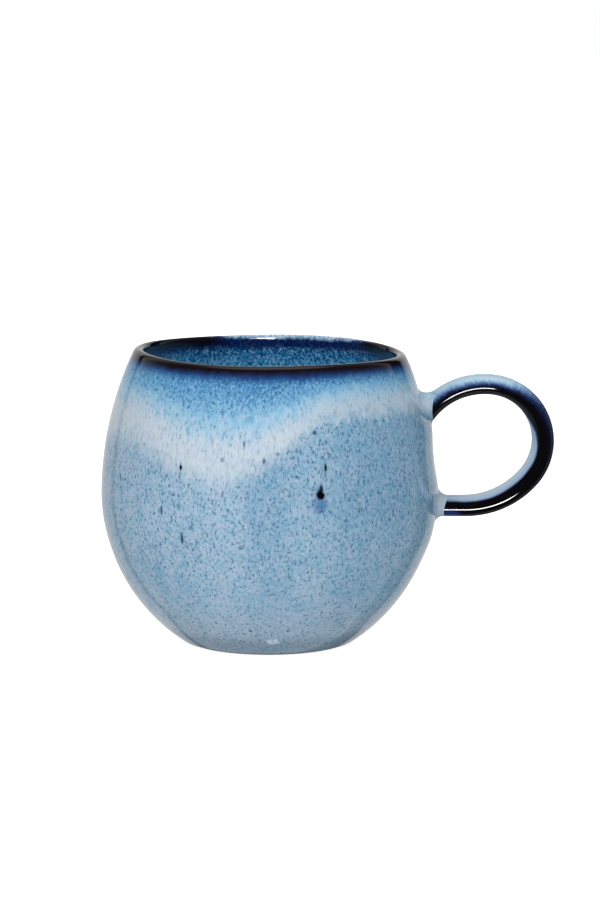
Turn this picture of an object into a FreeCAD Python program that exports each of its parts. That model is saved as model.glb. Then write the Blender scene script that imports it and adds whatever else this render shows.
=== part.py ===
"""Ball-shaped stoneware mug with a ring handle, as a parametric FreeCAD document in millimetres.

The cup stands on the XY plane with its axis on Z, and the handle lies in the XZ plane, towards +X.
The clay pieces are the cup, the handle and the two slip joints that hold the handle on. Each glaze
is a skin of one thickness over the clay: outside, lip, inside, handle and the recess under the foot.
"""

import FreeCAD, Part
import Sketcher
from FreeCAD import Placement, Vector

import math
import os
import sys
from collections import namedtuple

DIMENSIONS = {
    # Glazed outline of the cup: two arcs that meet at the widest point, and a rounded lip.
    "belly_radius": 47.5,
    "belly_height": 43.3,
    "lower_arc": 51.0,
    "shoulder_arc": 89.0,
    "rim_height": 83.6,
    "lip_radius": 2.0,
    # Inside: wall at the belly with both glazes, arc from there up to the thinner rim, and floor.
    "wall": 4.4,
    "inner_arc": 102.0,
    "floor_height": 7.0,
    "floor_round": 9.0,
    "glaze": 0.4,
    # Foot ring.
    "foot_corner": 3.3,
    "foot_inner": 18.0,
    "foot_slope": 0.8,
    "recess": 1.8,
    # Heights where one glaze stops and the next begins.
    "foot_line": 0.8,
    "rim_line_outside": 81.0,
    "rim_line_inside": 80.0,
    # Handle: a level run out of the lower root, then three arcs up and round to the upper root.
    "handle_low": 39.0,
    "handle_run": 55.9,
    "low_arc": 24.0,
    "outer_arc": 16.0,
    "outer_centre": 62.0,
    "top_arc": 20.5,
    "top_centre_height": 53.4,
    "handle_start": 41.0,
    "handle_end_height": 57.0,
    "handle_thick": 6.3,
    "handle_wide": 8.5,
    # Fillet of the slip joints, and where the dark handle glaze starts over each root.
    "slip_radius": 2.4,
    "upper_glaze_start": 46.8,
    "lower_glaze_start": 50.0,
    "roots_split": 56.0,
    "handle_space": 60.0,
}

doc = FreeCAD.newDocument("mug")
dims = doc.addObject("Spreadsheet::Sheet", "Dims")
for row, (alias, value) in enumerate(DIMENSIONS.items(), start=1):
    dims.set(f"A{row}", alias)
    dims.set(f"B{row}", str(value))
    dims.setAlias(f"B{row}", alias)
doc.recompute()

# A surface of the wall is two arcs. Each is given by expressions over the sheet: both radii, and
# how far the shoulder arc's centre lies behind the axis. The lower arcs all share one centre.
Surface = namedtuple("Surface", "lower shoulder shoulder_back")
GLAZED_OUTSIDE = Surface("Dims.lower_arc", "Dims.shoulder_arc", "Dims.shoulder_arc - Dims.belly_radius")
CLAY_OUTSIDE = Surface(
    "Dims.lower_arc - Dims.glaze",
    "Dims.shoulder_arc - Dims.glaze",
    "Dims.shoulder_arc - Dims.belly_radius",
)
GLAZED_INSIDE = Surface(
    "Dims.lower_arc - Dims.wall",
    "Dims.inner_arc",
    "Dims.inner_arc + Dims.wall - Dims.belly_radius",
)
CLAY_INSIDE = Surface(
    "Dims.lower_arc - Dims.wall + Dims.glaze",
    "Dims.inner_arc + Dims.glaze",
    "Dims.inner_arc + Dims.wall - Dims.belly_radius",
)
LOWER_BACK = "Dims.lower_arc - Dims.belly_radius"

# How deep the clay lies under the surface of its glaze.
AT_GLAZE = "0"
AT_CLAY = "Dims.glaze"

# Sketcher's numbers for the parts of a curve, the origin and the two axes.
START, END, CENTRE = 1, 2, 3
ORIGIN = (-1, 1)
H_AXIS, V_AXIS = -1, -2

# How the edges of the handle's roots are told from the other edges of a form, in millimetres.
ON_SURFACE = 0.02
SEAM_WIDTH = 0.5
EDGE_SAMPLES = 5


def number(expression):
    """The value of an expression over the sheet's cells."""
    return float(dims.evalExpression(expression))


class Outline:
    """A sketch on one of a body's origin planes, whose sizes are bound to the sheet."""

    def __init__(self, body, name, role="XZ_Plane"):
        plane = next(f for f in body.Origin.OriginFeatures if f.Role == role)
        self.sketch = body.newObject("Sketcher::SketchObject", name)
        self.sketch.AttachmentSupport = [(plane, "")]
        self.sketch.MapMode = "FlatFace"

    def line(self, start, end):
        return self.sketch.addGeometry(Part.LineSegment(Vector(*start), Vector(*end)), False)

    def arc(self, centre, radius, first, last):
        """An arc, anticlockwise from the angle first to the angle last, in radians."""
        circle = Part.Circle(Vector(*centre), Vector(0, 0, 1), radius)
        return self.sketch.addGeometry(Part.ArcOfCircle(circle, first, last), False)

    def rule(self, kind, *places):
        self.sketch.addConstraint(Sketcher.Constraint(kind, *places))

    def size(self, kind, *places, cell):
        """A dimension whose value is an expression over the sheet's cells."""
        index = self.sketch.addConstraint(Sketcher.Constraint(kind, *places, number(cell)))
        self.sketch.setExpression(f"Constraints[{index}]", cell)

    def joints(self, *joints):
        """Each joint is (kind, curve, its end, next curve, its end)."""
        for joint in joints:
            self.rule(*joint)


# ---- The wall's surfaces, drawn in the half plane of radius and height ----


def radius_at(surface, height):
    """Distance from the axis to a surface of the wall, at a height."""
    rise = height - number("Dims.belly_height")
    arc, back = (surface.lower, LOWER_BACK) if rise < 0 else (surface.shoulder, surface.shoulder_back)
    return math.sqrt(number(arc) ** 2 - rise**2) - number(back)


def wall_arc(outline, radius, back, low, high):
    """One arc of a wall's surface between two heights, placed by its centre."""
    middle = number("Dims.belly_height")
    first, last = (math.asin((end - middle) / number(radius)) for end in (low, high))
    index = outline.arc((-number(back), middle), number(radius), first, last)
    outline.size("DistanceX", index, CENTRE, *ORIGIN, cell=back)
    outline.size("DistanceY", *ORIGIN, index, CENTRE, cell="Dims.belly_height")
    return index


def wall(outline, surface, low, high):
    """The lower and the shoulder arc of a surface, tangent at the belly."""
    middle = number("Dims.belly_height")
    lower = wall_arc(outline, surface.lower, LOWER_BACK, low, middle)
    shoulder = wall_arc(outline, surface.shoulder, surface.shoulder_back, middle, high)
    outline.size("Radius", lower, cell=surface.lower)
    outline.rule("Tangent", lower, END, shoulder, START)
    return lower, shoulder


def shoulder(outline, surface, low, high):
    """A stretch of a surface's shoulder arc alone."""
    index = wall_arc(outline, surface.shoulder, surface.shoulder_back, low, high)
    outline.size("Radius", index, cell=surface.shoulder)
    return index


class Lip:
    """The lip's two rounds at a depth under the glaze: the outer is given, the inner fits the wall.
    Their centres are one above the other, so that they meet at the crest of the rim."""

    def __init__(self, depth):
        middle, top = number("Dims.belly_height"), number("Dims.rim_height")
        outer_round = number("Dims.lip_radius")
        reach = number("Dims.shoulder_arc") - outer_round
        run = math.sqrt(reach**2 - (top - outer_round - middle) ** 2)
        crest = run - number(GLAZED_OUTSIDE.shoulder_back)
        inner_back, inner_arc = number(GLAZED_INSIDE.shoulder_back), number("Dims.inner_arc")
        height = top - middle
        inner_run = crest + inner_back
        inner_round = (inner_run**2 + height**2 - inner_arc**2) / (2 * (height + inner_arc))
        self.depth = depth
        self.outer_centre = (crest, top - outer_round)
        self.inner_centre = (crest, top - inner_round)
        self.outer_round = outer_round - number(depth)
        self.inner_round = inner_round - number(depth)
        self.lean_out = math.atan2(self.outer_centre[1] - middle, run)
        self.lean_in = math.atan2(self.inner_centre[1] - middle, inner_run)
        self.outer_foot = self.outer_centre[1] + self.outer_round * math.sin(self.lean_out)
        self.inner_foot = self.inner_centre[1] - self.inner_round * math.sin(self.lean_in)

    def draw(self, outline):
        outer = outline.arc(self.outer_centre, self.outer_round, self.lean_out, math.pi / 2)
        inner = outline.arc(self.inner_centre, self.inner_round, math.pi / 2, math.pi + self.lean_in)
        outline.size("Radius", outer, cell=f"Dims.lip_radius - ({self.depth})")
        outline.size("DistanceY", *ORIGIN, outer, CENTRE, cell="Dims.rim_height - Dims.lip_radius")
        outline.rule("Vertical", outer, CENTRE, inner, CENTRE)
        outline.rule("Tangent", outer, END, inner, START)
        return outer, inner


class Floor:
    """The floor at a depth under the glaze, and the round between it and the inner wall."""

    def __init__(self, surface, depth):
        self.depth = depth
        self.round = number(f"Dims.floor_round + ({depth})")
        self.height = number(f"Dims.floor_height - ({depth})")
        drop = number("Dims.belly_height") - self.height - self.round
        reach = number(surface.lower) - self.round
        self.slant = math.asin(drop / reach)
        self.edge = reach * math.cos(self.slant) - number(LOWER_BACK)
        self.round_top = self.height + self.round * (1 - math.sin(self.slant))

    def draw(self, outline):
        centre = (self.edge, self.height + self.round)
        corner = outline.arc(centre, self.round, -math.pi / 2, -self.slant)
        line = outline.line((0, self.height), (self.edge, self.height))
        outline.size("Radius", corner, cell=f"Dims.floor_round + ({self.depth})")
        outline.size("DistanceY", *ORIGIN, line, START, cell=f"Dims.floor_height - ({self.depth})")
        outline.rule("PointOnObject", line, START, V_AXIS)
        outline.rule("Horizontal", line)
        outline.rule("Tangent", line, END, corner, START)
        return corner, line


def level_line(outline, cell, first, last):
    """A level line at the height of a cell, from one radius to another."""
    height = number(cell)
    index = outline.line((first, height), (last, height))
    outline.rule("Horizontal", index)
    outline.size("DistanceY", *ORIGIN, index, START, cell=cell)
    return index


def edge_line(outline, cell, first, last):
    """The level edge of a coat of glaze, from one surface of the wall to another."""
    height = number(cell)
    return level_line(outline, cell, radius_at(first, height), radius_at(last, height))


# ---- Pieces that are turned round the cup's axis ----


def new_body(label):
    body = doc.addObject("PartDesign::Body", label)
    body.Label = label
    body.Placement = Placement()
    return body


def revolve(body, outline):
    """Turns an outline once round the Z axis."""
    turned = body.newObject("PartDesign::Revolution", body.Label + "_turned")
    turned.Profile = outline.sketch
    turned.ReferenceAxis = (outline.sketch, ["V_Axis"])
    turned.Angle = 360
    return turned


def make_cup():
    """The clay shell: floor, foot ring, wall and the clay under the lip's glaze."""
    body = new_body("stoneware_cup")
    outline = Outline(body, "cup_profile")
    lip, bottom = Lip(AT_CLAY), Floor(CLAY_INSIDE, AT_CLAY)
    corner, recess, foot_inner = (number(f"Dims.{c}") for c in ("foot_corner", "recess", "foot_inner"))
    drop, reach = number("Dims.belly_height") - corner, number(CLAY_OUTSIDE.lower) - corner
    slant = math.asin(drop / reach)
    corner_x = reach * math.cos(slant) - number(LOWER_BACK)
    ceiling_edge = foot_inner - number("Dims.foot_slope")

    ceiling = outline.line((0, recess), (ceiling_edge, recess))
    foot_side = outline.line((ceiling_edge, recess), (foot_inner, 0))
    foot = outline.line((foot_inner, 0), (corner_x, 0))
    foot_round = outline.arc((corner_x, corner), corner, -math.pi / 2, -slant)
    outer_low, outer_high = wall(outline, CLAY_OUTSIDE, corner * (1 - math.sin(slant)), lip.outer_foot)
    lip_outer, lip_inner = lip.draw(outline)
    inner_low, inner_high = wall(outline, CLAY_INSIDE, bottom.round_top, lip.inner_foot)
    floor_round, floor = bottom.draw(outline)
    axis = outline.line((0, bottom.height), (0, recess))

    outline.rule("Horizontal", ceiling)
    outline.rule("PointOnObject", ceiling, START, V_AXIS)
    outline.rule("Horizontal", foot)
    outline.rule("PointOnObject", foot, START, H_AXIS)
    outline.size("DistanceX", *ORIGIN, foot, START, cell="Dims.foot_inner")
    outline.size("DistanceX", foot_side, START, foot_side, END, cell="Dims.foot_slope")
    outline.size("DistanceY", foot_side, END, foot_side, START, cell="Dims.recess")
    outline.size("Radius", foot_round, cell="Dims.foot_corner")
    outline.joints(
        ("Coincident", ceiling, END, foot_side, START),
        ("Coincident", foot_side, END, foot, START),
        ("Tangent", foot, END, foot_round, START),
        ("Tangent", foot_round, END, outer_low, START),
        ("Tangent", outer_high, END, lip_outer, START),
        ("Tangent", lip_inner, END, inner_high, END),
        ("Tangent", inner_low, START, floor_round, END),
        ("Coincident", floor, START, axis, START),
        ("Coincident", axis, END, ceiling, START),
    )
    revolve(body, outline)
    return body


def make_rim_glaze():
    """The band over the lip, from its line outside to its line inside."""
    body = new_body("rim_glaze")
    outline = Outline(body, "rim_profile")
    glazed, clay = Lip(AT_GLAZE), Lip(AT_CLAY)
    outside, inside = number("Dims.rim_line_outside"), number("Dims.rim_line_inside")

    glazed_out = shoulder(outline, GLAZED_OUTSIDE, outside, glazed.outer_foot)
    glazed_lip_out, glazed_lip_in = glazed.draw(outline)
    glazed_in = shoulder(outline, GLAZED_INSIDE, inside, glazed.inner_foot)
    clay_in = shoulder(outline, CLAY_INSIDE, inside, clay.inner_foot)
    clay_lip_out, clay_lip_in = clay.draw(outline)
    clay_out = shoulder(outline, CLAY_OUTSIDE, outside, clay.outer_foot)
    outer_end = edge_line(outline, "Dims.rim_line_outside", CLAY_OUTSIDE, GLAZED_OUTSIDE)
    inner_end = edge_line(outline, "Dims.rim_line_inside", GLAZED_INSIDE, CLAY_INSIDE)
    outline.joints(
        ("Coincident", outer_end, END, glazed_out, START),
        ("Tangent", glazed_out, END, glazed_lip_out, START),
        ("Tangent", glazed_lip_in, END, glazed_in, END),
        ("Coincident", glazed_in, START, inner_end, START),
        ("Coincident", inner_end, END, clay_in, START),
        ("Tangent", clay_in, END, clay_lip_in, END),
        ("Tangent", clay_lip_out, START, clay_out, END),
        ("Coincident", clay_out, START, outer_end, START),
    )
    revolve(body, outline)
    return body


def make_inner_glaze():
    """The coat of the inside: the wall up to the rim's band, and the floor."""
    body = new_body("inner_glaze")
    outline = Outline(body, "inside_profile")
    top = number("Dims.rim_line_inside")
    glazed, clay = Floor(GLAZED_INSIDE, AT_GLAZE), Floor(CLAY_INSIDE, AT_CLAY)

    glazed_low, glazed_high = wall(outline, GLAZED_INSIDE, glazed.round_top, top)
    clay_low, clay_high = wall(outline, CLAY_INSIDE, clay.round_top, top)
    glazed_round, glazed_floor = glazed.draw(outline)
    clay_round, clay_floor = clay.draw(outline)
    end = edge_line(outline, "Dims.rim_line_inside", GLAZED_INSIDE, CLAY_INSIDE)
    axis = outline.line((0, glazed.height), (0, clay.height))
    outline.joints(
        ("Tangent", glazed_round, END, glazed_low, START),
        ("Coincident", glazed_high, END, end, START),
        ("Coincident", end, END, clay_high, END),
        ("Tangent", clay_low, START, clay_round, END),
        ("Coincident", clay_floor, START, axis, END),
        ("Coincident", axis, START, glazed_floor, START),
    )
    revolve(body, outline)
    return body


def make_base_glaze():
    """The coat on the ceiling of the recess inside the foot ring."""
    body = new_body("base_glaze")
    outline = Outline(body, "recess_disc", "XY_Plane")
    radius = number("Dims.foot_inner - Dims.foot_slope")
    disc = outline.sketch.addGeometry(Part.Circle(Vector(), Vector(0, 0, 1), radius), False)
    outline.rule("Coincident", disc, CENTRE, *ORIGIN)
    outline.size("Radius", disc, cell="Dims.foot_inner - Dims.foot_slope")
    outline.sketch.setExpression("AttachmentOffset.Base.z", "Dims.recess - Dims.glaze")
    pad = body.newObject("PartDesign::Pad", "recess_coat")
    pad.Profile = outline.sketch
    pad.setExpression("Length", "Dims.glaze")
    return body


# ---- The handle and its joints ----


def add_ball(body, surface):
    """The cup's outside as a solid, between the foot's glaze line and the rim's band."""
    outline = Outline(body, body.Label + "_ball")
    low, high = number("Dims.foot_line"), number("Dims.rim_line_outside")
    lower, upper = wall(outline, surface, low, high)
    bottom = level_line(outline, "Dims.foot_line", 0, radius_at(surface, low))
    top = level_line(outline, "Dims.rim_line_outside", radius_at(surface, high), 0)
    axis = outline.line((0, high), (0, low))
    outline.rule("PointOnObject", bottom, START, V_AXIS)
    outline.rule("PointOnObject", top, END, V_AXIS)
    outline.joints(
        ("Coincident", bottom, END, lower, START),
        ("Coincident", upper, END, top, START),
        ("Coincident", top, END, axis, START),
        ("Coincident", axis, END, bottom, START),
    )
    return revolve(body, outline)


def draw_handle_path(body):
    """The handle's centre line: level out of the cup, then three tangent arcs back into it."""
    outline = Outline(body, body.Label + "_path")
    low, start, run = (number(f"Dims.{c}") for c in ("handle_low", "handle_start", "handle_run"))
    low_arc, outer_arc, top_arc = (number(f"Dims.{c}") for c in ("low_arc", "outer_arc", "top_arc"))
    low_centre = Vector(run, low + low_arc)
    across = number("Dims.outer_centre") - run
    outer_centre = low_centre + Vector(across, -math.sqrt((low_arc - outer_arc) ** 2 - across**2))
    rise = number("Dims.top_centre_height") - outer_centre.y
    back = math.sqrt((top_arc - outer_arc) ** 2 - rise**2)
    top_centre = outer_centre + Vector(-back, rise)
    low_turn = math.atan2(*(outer_centre - low_centre)[1::-1])
    top_turn = math.atan2(*(outer_centre - top_centre)[1::-1])
    end_turn = math.pi - math.asin((number("Dims.handle_end_height") - top_centre.y) / top_arc)

    level = outline.line((start, low), (run, low))
    first = outline.arc(low_centre, low_arc, -math.pi / 2, low_turn)
    second = outline.arc(outer_centre, outer_arc, low_turn, top_turn)
    third = outline.arc(top_centre, top_arc, top_turn, end_turn)
    outline.rule("Horizontal", level)
    outline.size("DistanceX", *ORIGIN, level, START, cell="Dims.handle_start")
    outline.size("DistanceY", *ORIGIN, level, START, cell="Dims.handle_low")
    outline.size("DistanceX", *ORIGIN, level, END, cell="Dims.handle_run")
    outline.joints(
        ("Tangent", level, END, first, START),
        ("Tangent", first, END, second, START),
        ("Tangent", second, END, third, START),
    )
    outline.size("Radius", first, cell="Dims.low_arc")
    outline.size("Radius", second, cell="Dims.outer_arc")
    outline.size("Radius", third, cell="Dims.top_arc")
    outline.size("DistanceX", *ORIGIN, second, CENTRE, cell="Dims.outer_centre")
    outline.size("DistanceY", *ORIGIN, third, CENTRE, cell="Dims.top_centre_height")
    outline.size("DistanceY", *ORIGIN, third, END, cell="Dims.handle_end_height")
    return outline.sketch


def draw_handle_section(body, depth):
    """The handle's oval section, at the start of its centre line and at a depth under the glaze."""
    outline = Outline(body, body.Label + "_section", "YZ_Plane")
    sketch = outline.sketch
    wide, thick = (f"Dims.{c} - 2 * ({depth})" for c in ("handle_wide", "handle_thick"))
    centre = Vector(0, number("Dims.handle_low"))
    side, top = Vector(number(wide) / 2, 0), Vector(0, number(thick) / 2)
    oval = sketch.addGeometry(Part.Ellipse(centre + side, centre + top, centre), False)
    sketch.exposeInternalGeometry(oval)
    long_axis, short_axis = oval + 1, oval + 2
    outline.rule("PointOnObject", oval, CENTRE, V_AXIS)
    outline.size("DistanceY", *ORIGIN, oval, CENTRE, cell="Dims.handle_low")
    outline.rule("Horizontal", long_axis)
    outline.size("Distance", long_axis, cell=wide)
    outline.size("Distance", short_axis, cell=thick)
    sketch.setExpression("AttachmentOffset.Base.z", "Dims.handle_start")
    return sketch


def add_handle(body, depth):
    """The handle's tube, at a depth under the glaze, from inside one root to inside the other."""
    tube = body.newObject("PartDesign::AdditivePipe", body.Label + "_tube")
    tube.Profile = draw_handle_section(body, depth)
    tube.Spine = draw_handle_path(body)
    return tube


def root_edges(shape, surface):
    """Names of the edges where the handle's tube goes into the cup's outside. They lie on the ball
    and run round the tube, which the ball's own seam and rims don't."""
    names = []
    for index, edge in enumerate(shape.Edges, start=1):
        on_ball = all(
            abs(math.hypot(point.x, point.y) - radius_at(surface, point.z)) < ON_SURFACE
            for point in edge.discretize(EDGE_SAMPLES)
        )
        if on_ball and SEAM_WIDTH < edge.BoundBox.YLength < number("2 * Dims.handle_wide"):
            names.append(f"Edge{index}")
    return names


def make_form(label, surface, depth):
    """Cup outside, handle and the fillets between them as one solid, at a depth under the glaze."""
    body = new_body(label)
    add_ball(body, surface)
    tube = add_handle(body, depth)
    doc.recompute()
    fillet = body.newObject("PartDesign::Fillet", label + "_fillet")
    fillet.Base = (tube, root_edges(tube.Shape, surface))
    fillet.setExpression("Radius", f"Dims.slip_radius + ({depth})")
    return body


def combine(kind, label, base, tool):
    """A Part::Cut, Part::Common or Part::Fuse of two objects."""
    result = doc.addObject(kind, label)
    result.Label = label
    result.Base = base
    result.Tool = tool
    result.Placement = Placement()
    return result


def make_box(label, x, z_low, height):
    """A box across the handle, from a distance x outwards."""
    box = doc.addObject("Part::Box", label)
    box.setExpression("Length", "Dims.handle_space")
    box.setExpression("Width", "Dims.handle_space")
    box.setExpression("Height", height)
    box.setExpression("Placement.Base.x", x)
    box.setExpression("Placement.Base.y", "-Dims.handle_space / 2")
    box.setExpression("Placement.Base.z", z_low)
    return box


def make_handle_pieces():
    """The handle's clay, the two slip joints, and the glazes of the outside and of the handle."""
    clay_ball = new_body("clay_ball")
    add_ball(clay_ball, CLAY_OUTSIDE)
    clay_tube = new_body("clay_tube")
    add_handle(clay_tube, AT_CLAY)
    clay_form = make_form("clay_form", CLAY_OUTSIDE, AT_CLAY)
    glazed_form = make_form("glazed_form", GLAZED_OUTSIDE, AT_GLAZE)

    handle = combine("Part::Cut", "stoneware_handle", clay_tube, clay_ball)
    outside_ball = combine("Part::Cut", "outside_ball", clay_form, clay_ball)
    fillets = combine("Part::Cut", "fillets", outside_ball, clay_tube)
    above = make_box("above_split", "0", "Dims.roots_split", "Dims.handle_space")
    upper = combine("Part::Common", "upper_slip_joint", fillets, above)
    lower = combine("Part::Cut", "lower_slip_joint", fillets, above)

    skin = combine("Part::Cut", "outer_skin", glazed_form, clay_form)
    dark_above = make_box("dark_above", "Dims.upper_glaze_start", "Dims.roots_split", "Dims.handle_space")
    dark_below = make_box(
        "dark_below",
        "Dims.lower_glaze_start",
        "Dims.roots_split - Dims.handle_space",
        "Dims.handle_space",
    )
    dark_zone = combine("Part::Fuse", "dark_zone", dark_above, dark_below)
    body_glaze = combine("Part::Cut", "body_glaze", skin, dark_zone)
    handle_glaze = combine("Part::Common", "handle_glaze", skin, dark_zone)
    return [handle, upper, lower, body_glaze, handle_glaze]


def check(pieces):
    """Stops the script if anything in the document failed or a piece is not one sound solid."""
    for item in doc.Objects:
        if {"Invalid", "Error"} & set(item.State):
            sys.exit(f"{item.Label}: {item.State}")
    for piece in pieces:
        shape = piece.Shape
        if shape.isNull() or not shape.isValid() or len(shape.Solids) != 1:
            sys.exit(f"{piece.Label}: not one valid solid")


pieces = [make_cup(), make_rim_glaze(), make_inner_glaze(), make_base_glaze()]
pieces += make_handle_pieces()
doc.recompute()
check(pieces)
os.makedirs("parts", exist_ok=True)
for piece in pieces:
    piece.Shape.exportStep(f"parts/{piece.Label}.step")
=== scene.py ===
"""Looks of the ball-shaped stoneware mug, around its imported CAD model.

The cup's glazes, its clay and the handle's glaze are rebuilt as finer meshes with the slight
unevenness of a handmade piece. All of them share one glaze recipe, so that colours run on from
piece to piece. Lengths are in millimetres until a mesh is made, and angles go round the cup's axis
from the handle's side.
"""

import math

import bpy
import numpy as np
from mathutils import Matrix, Vector


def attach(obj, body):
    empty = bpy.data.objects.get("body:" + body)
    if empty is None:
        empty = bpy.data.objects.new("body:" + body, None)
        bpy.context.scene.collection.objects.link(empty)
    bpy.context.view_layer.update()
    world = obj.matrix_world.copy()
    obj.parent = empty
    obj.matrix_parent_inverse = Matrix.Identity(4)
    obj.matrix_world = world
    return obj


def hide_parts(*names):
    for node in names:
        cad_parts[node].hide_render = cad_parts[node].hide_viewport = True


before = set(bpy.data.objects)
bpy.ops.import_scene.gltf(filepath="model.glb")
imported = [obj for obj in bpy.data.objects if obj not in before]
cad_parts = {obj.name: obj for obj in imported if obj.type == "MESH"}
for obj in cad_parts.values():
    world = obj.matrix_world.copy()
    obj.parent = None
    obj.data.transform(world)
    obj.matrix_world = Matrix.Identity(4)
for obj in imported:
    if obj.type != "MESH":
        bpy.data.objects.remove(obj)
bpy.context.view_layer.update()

MM = 0.001
TAU = 2 * math.pi

# Cup: the CAD model's outline.
BELLY_RADIUS = 47.5
BELLY_HEIGHT = 43.3
LOWER_ARC = 51.0
SHOULDER_ARC = 89.0
RIM_HEIGHT = 83.6
LIP_RADIUS = 2.0
WALL = 4.4
INNER_ARC = 102.0
FLOOR_HEIGHT = 7.0
FLOOR_ROUND = 9.0
GLAZE = 0.4
FOOT_CORNER = 3.3
FOOT_INNER = 18.0
FOOT_SLOPE = 0.8
RECESS = 1.8
FOOT_LINE = 0.8
FOOT_EDGE = 0.4
RIM_LINE_OUTSIDE = 81.0
RIM_LINE_INSIDE = 80.0
# The rim of the handmade cup: how far it leans, and how far it waves three times round.
RIM_LEAN = 0.57
RIM_WAVE = 0.28

# Handle: a level run, then three arcs, in the XZ plane.
HANDLE_LOW = 39.0
HANDLE_START = 41.0
HANDLE_RUN = 55.9
LOW_ARC = 24.0
OUTER_ARC = 16.0
OUTER_CENTRE = 62.0
TOP_ARC = 20.5
TOP_CENTRE_HEIGHT = 53.4
HANDLE_END_HEIGHT = 57.0
HANDLE_WIDE = 8.5
# Thickness towards the ring's middle, at shares of the centre line from the lower root to the upper.
HANDLE_THICK = [(0.0, 6.1), (0.12, 6.1), (0.36, 6.9), (0.64, 5.8), (0.9, 6.0), (1.0, 6.0)]
# The collar of slip at each root: its rounding, and how far it may reach from the corner.
SLIP_RADIUS = 2.6
SLIP_REACH = 4.5


def smooth_step(value, low, high):
    share = np.clip((np.asarray(value, float) - low) / (high - low), 0, 1)
    return share * share * (3 - 2 * share)


# ---- Meshes ----


def new_piece(name, points, faces, slot, *nodes):
    """A smooth mesh with crisp edges where the surface turns sharply. It stands for the CAD nodes."""
    mesh = bpy.data.meshes.new(name)
    mesh.from_pydata((np.asarray(points) * MM).tolist(), [], faces)
    mesh.validate()
    mesh.update()
    mesh.shade_smooth()
    mesh.set_sharp_from_angle(angle=math.radians(38))
    piece = bpy.data.objects.new(name, mesh)
    bpy.context.scene.collection.objects.link(piece)
    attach(piece, "root")
    if nodes:
        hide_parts(*nodes)
    return piece


def ring_faces(rows, columns, closed=True):
    """Quads of a grid of points whose columns go round. With closed, its last row joins the first."""
    faces = []
    for row in range(rows if closed else rows - 1):
        below, above = row * columns, (row + 1) % rows * columns
        for column in range(columns):
            after = (column + 1) % columns
            faces.append((below + column, below + after, above + after, above + column))
    return faces


def bump(value, middle, spread):
    """1 at the middle, falling off to both sides."""
    return np.exp(-(((value - middle) / spread) ** 2))


def warp(radius, height, angle):
    """Where the cup's even outline goes on the real, handmade cup. Returns points."""
    radius, height, angle = np.broadcast_arrays(radius, height, angle)
    near_rim = smooth_step(height, 58, 84)
    lift = -(RIM_LEAN * np.cos(angle) + RIM_WAVE * np.cos(3 * angle)) * near_rim

    # Out of round all over, and turning lines.
    belly = np.sin(np.pi * np.clip((height - 4) / 78, 0, 1)) ** 2
    push = 0.12 * np.cos(2 * angle + 0.9) + 0.05 * np.cos(5 * angle + 0.06 * height)
    push = push * belly + 0.10 * np.sin(height * 0.23 + 1.3 * np.cos(angle + 0.5)) * belly * 0.6

    # Fuller between the handle's roots, and lower and higher up on that side.
    by_handle = np.exp(-(np.angle(np.exp(1j * angle)) / 0.3) ** 2)
    bulge = by_handle * (0.9 * bump(height, 62.5, 5) + 0.75 * bump(height, 44.5, 4.5))
    handle_side = np.clip(np.cos(angle), 0, 1) ** 2
    bulge = bulge + handle_side * (0.55 * bump(height, 33, 7) + 0.7 * smooth_step(height, 70, 82))
    out = radius + (push + bulge) * smooth_step(radius, 8, 30)
    return np.stack([out * np.cos(angle), out * np.sin(angle), height + lift], -1)


def arc_run(centre, radius, first, last, count):
    """Points and normals along an arc, from the angle first to the angle last."""
    turn = np.linspace(first, last, count)
    normal = np.stack([np.cos(turn), np.sin(turn)], -1)
    return np.asarray(centre) + radius * normal, normal


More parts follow.
